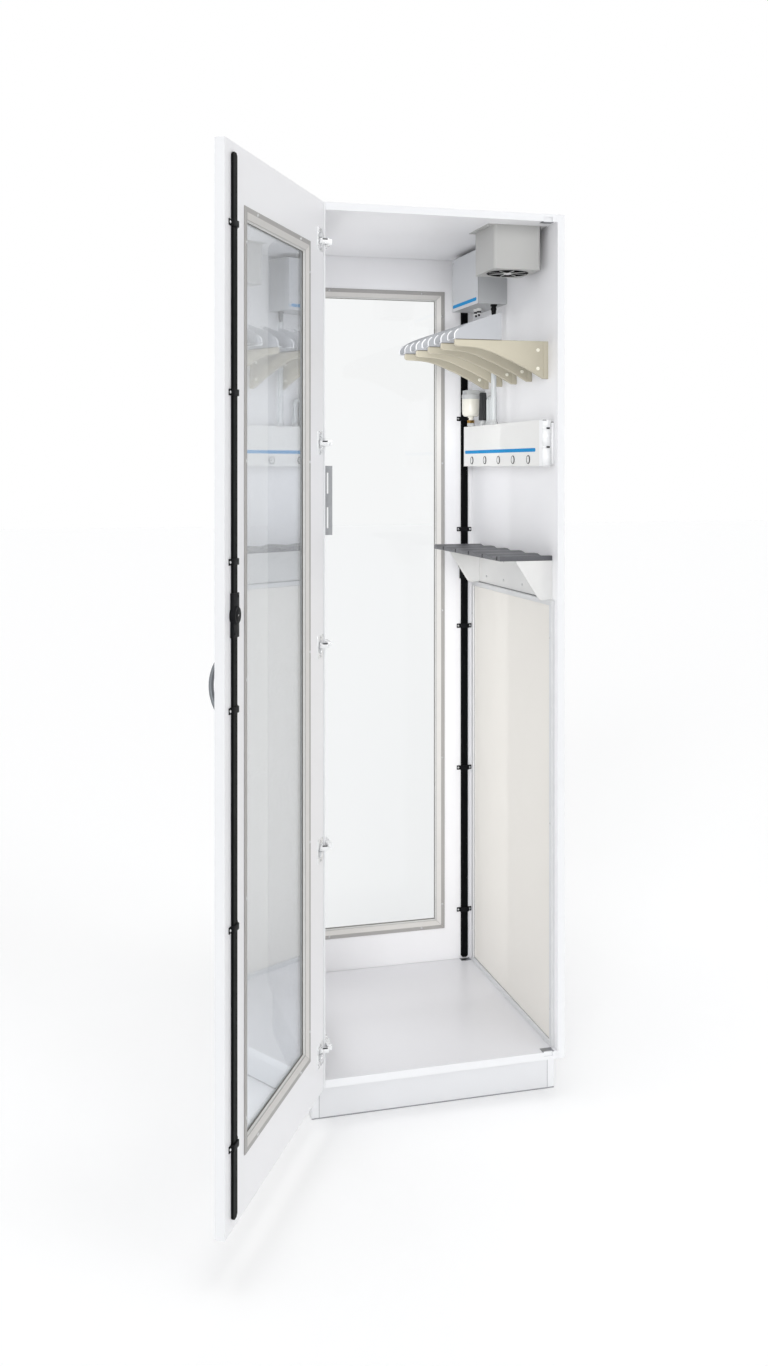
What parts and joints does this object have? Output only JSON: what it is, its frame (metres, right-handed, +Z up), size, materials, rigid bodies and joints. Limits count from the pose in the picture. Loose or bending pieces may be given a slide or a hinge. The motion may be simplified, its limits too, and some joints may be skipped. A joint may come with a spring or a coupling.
{
  "type": "drying cabinet",
  "caption": "Tall pass-through drying cabinet for hanging flexible scopes, with glazed doors front and rear, the front door open, hanging cradles, air manifold and shelf.",
  "frame": {"origin": "centre of the plinth's footprint on the floor", "axes": "+Z up, -Y towards the front (the open door), +X to the right as seen from the front"},
  "size_m": [0.9088, 1.1867, 2.1],
  "materials": {
    "white_board": "satin white melamine",
    "plinth_board": "satin white melamine",
    "hinge_steel": "nickel plated",
    "strike_steel": "satin",
    "fan_sheet": "satin grey",
    "black_plastic": "fine texture",
    "filter_fleece": "pleated fleece",
    "screw_steel": "zinc plated",
    "control_shell_paint": "satin grey",
    "control_cover_paint": "satin light grey with a blue stripe",
    "circuit_board": "solder mask",
    "cradle_plastic": "moulded, beige",
    "cheek_sheet": "satin grey",
    "bracket_steel": "zinc plated",
    "manifold_paint": "satin warm white with a blue stripe",
    "white_paint": "satin white",
    "port_metal": "nickel plated",
    "valve_metal": "anodised",
    "filter_plastic": "moulded",
    "bowl_plastic": "milky",
    "silencer_plastic": "ribbed",
    "tube_plastic": "translucent grey",
    "shelf_plastic": "fine texture",
    "panel_plastic": "warm white",
    "panel_aluminium": "anodised",
    "slotted_paint": "satin grey",
    "window_glass": "clear",
    "window_metal": "satin grey-beige",
    "window_rubber": "dark glazing seal",
    "bar_paint": "satin black",
    "handle_metal": "satin grey",
    "lock_metal": "die cast, nickel plated"
  },
  "bodies": {
    "cabinet": {"side_panel_left": "white_board", "side_panel_right": "white_board", "top_panel": "white_board", "floor_panel": "white_board", "plinth_cross_boards": "plinth_board", "plinth_side_boards": "plinth_board", "front_hinge_arms": "hinge_steel", "rear_hinge_arms": "hinge_steel", "strike_plates": "strike_steel", "fan_housing": "fan_sheet", "fan_frame": "black_plastic", "fan_filter": "filter_fleece", "fixing_screws": "screw_steel", "control_box_shell": "control_shell_paint", "control_box_cover": "control_cover_paint", "control_board": "circuit_board", "cable_gland": "black_plastic", "scope_cradles": "cradle_plastic", "cradle_cheeks": "cheek_sheet", "cradle_brackets": "bracket_steel", "cradle_screws": "cradle_plastic", "manifold_shell": "manifold_paint", "manifold_cover": "manifold_paint", "air_ports": "port_metal", "valve_block": "valve_metal", "manifold_end_bracket": "white_paint", "air_filter_head": "filter_plastic", "air_filter_bowl": "bowl_plastic", "air_silencer": "silencer_plastic", "air_tubes": "tube_plastic", "scope_shelf": "shelf_plastic", "shelf_bracket": "white_paint", "drip_panel": "panel_plastic", "drip_panel_frame": "panel_aluminium", "slotted_bracket": "slotted_paint"},
    "fan": {"fan_rotor": "black_plastic"},
    "front_door": {"front_door_leaf": "white_board", "front_window_glass": "window_glass", "front_window_frame": "window_metal", "front_window_seal": "window_rubber", "front_door_screws": "screw_steel", "front_hinge_cups": "hinge_steel", "front_bar_guides": "black_plastic", "front_lock_case": "black_plastic", "front_handle": "handle_metal"},
    "front_lock": {"front_lock_core": "lock_metal"},
    "front_upper": {"front_upper_bar": "bar_paint"},
    "front_lower": {"front_lower_bar": "bar_paint"},
    "rear_door": {"rear_door_leaf": "white_board", "rear_window_glass": "window_glass", "rear_window_frame": "window_metal", "rear_window_seal": "window_rubber", "rear_door_screws": "screw_steel", "rear_hinge_cups": "hinge_steel", "rear_bar_guides": "black_plastic", "rear_lock_case": "black_plastic", "rear_handle": "handle_metal"},
    "rear_lock": {"rear_lock_core": "lock_metal"},
    "rear_upper": {"rear_upper_bar": "bar_paint"},
    "rear_lower": {"rear_lower_bar": "bar_paint"}
  },
  "joints": [
    {"name": "fan_spin", "type": "hinge", "parent": "cabinet", "child": "fan", "pos_m": [0.204, -0.1775, 1.987], "axis": [0, 0, 1], "continuous": true},
    {"name": "front_door_swing", "type": "hinge", "parent": "cabinet", "child": "front_door", "pos_m": [-0.295, -0.3149, 1.1], "axis": [0, 0, 1], "range_deg": [0, 120]},
    {"name": "front_lock_turn", "type": "hinge", "parent": "front_door", "child": "front_lock", "pos_m": [-0.56682, -0.79651, 1.229], "axis": [-0.866, 0.5, 0], "range_deg": [0, 90]},
    {"name": "front_upper_bar_slide", "type": "slide", "parent": "front_door", "child": "front_upper", "axis": [0, 0, 1], "range_m": [0, 0.012]},
    {"name": "front_lower_bar_slide", "type": "slide", "parent": "front_door", "child": "front_lower", "axis": [0, 0, -1], "range_m": [0, 0.012]},
    {"name": "rear_door_swing", "type": "hinge", "parent": "cabinet", "child": "rear_door", "pos_m": [-0.295, 0.3149, 1.1], "axis": [0, 0, 1], "range_deg": [0, 120]},
    {"name": "rear_lock_turn", "type": "hinge", "parent": "rear_door", "child": "rear_lock", "pos_m": [0.258, 0.3095, 1.229], "axis": [0, -1, 0], "range_deg": [0, 90]},
    {"name": "rear_upper_bar_slide", "type": "slide", "parent": "rear_door", "child": "rear_upper", "axis": [0, 0, 1], "range_m": [0, 0.012]},
    {"name": "rear_lower_bar_slide", "type": "slide", "parent": "rear_door", "child": "rear_lower", "axis": [0, 0, -1], "range_m": [0, 0.012]}
  ],
  "couplings": [
    {"joint": "front_lock_turn", "follows": "front_lower_bar_slide", "rad_per_m": 130.9},
    {"joint": "front_upper_bar_slide", "follows": "front_lower_bar_slide", "ratio": 1},
    {"joint": "rear_lock_turn", "follows": "rear_lower_bar_slide", "rad_per_m": 130.9},
    {"joint": "rear_upper_bar_slide", "follows": "rear_lower_bar_slide", "ratio": 1}
  ]
}
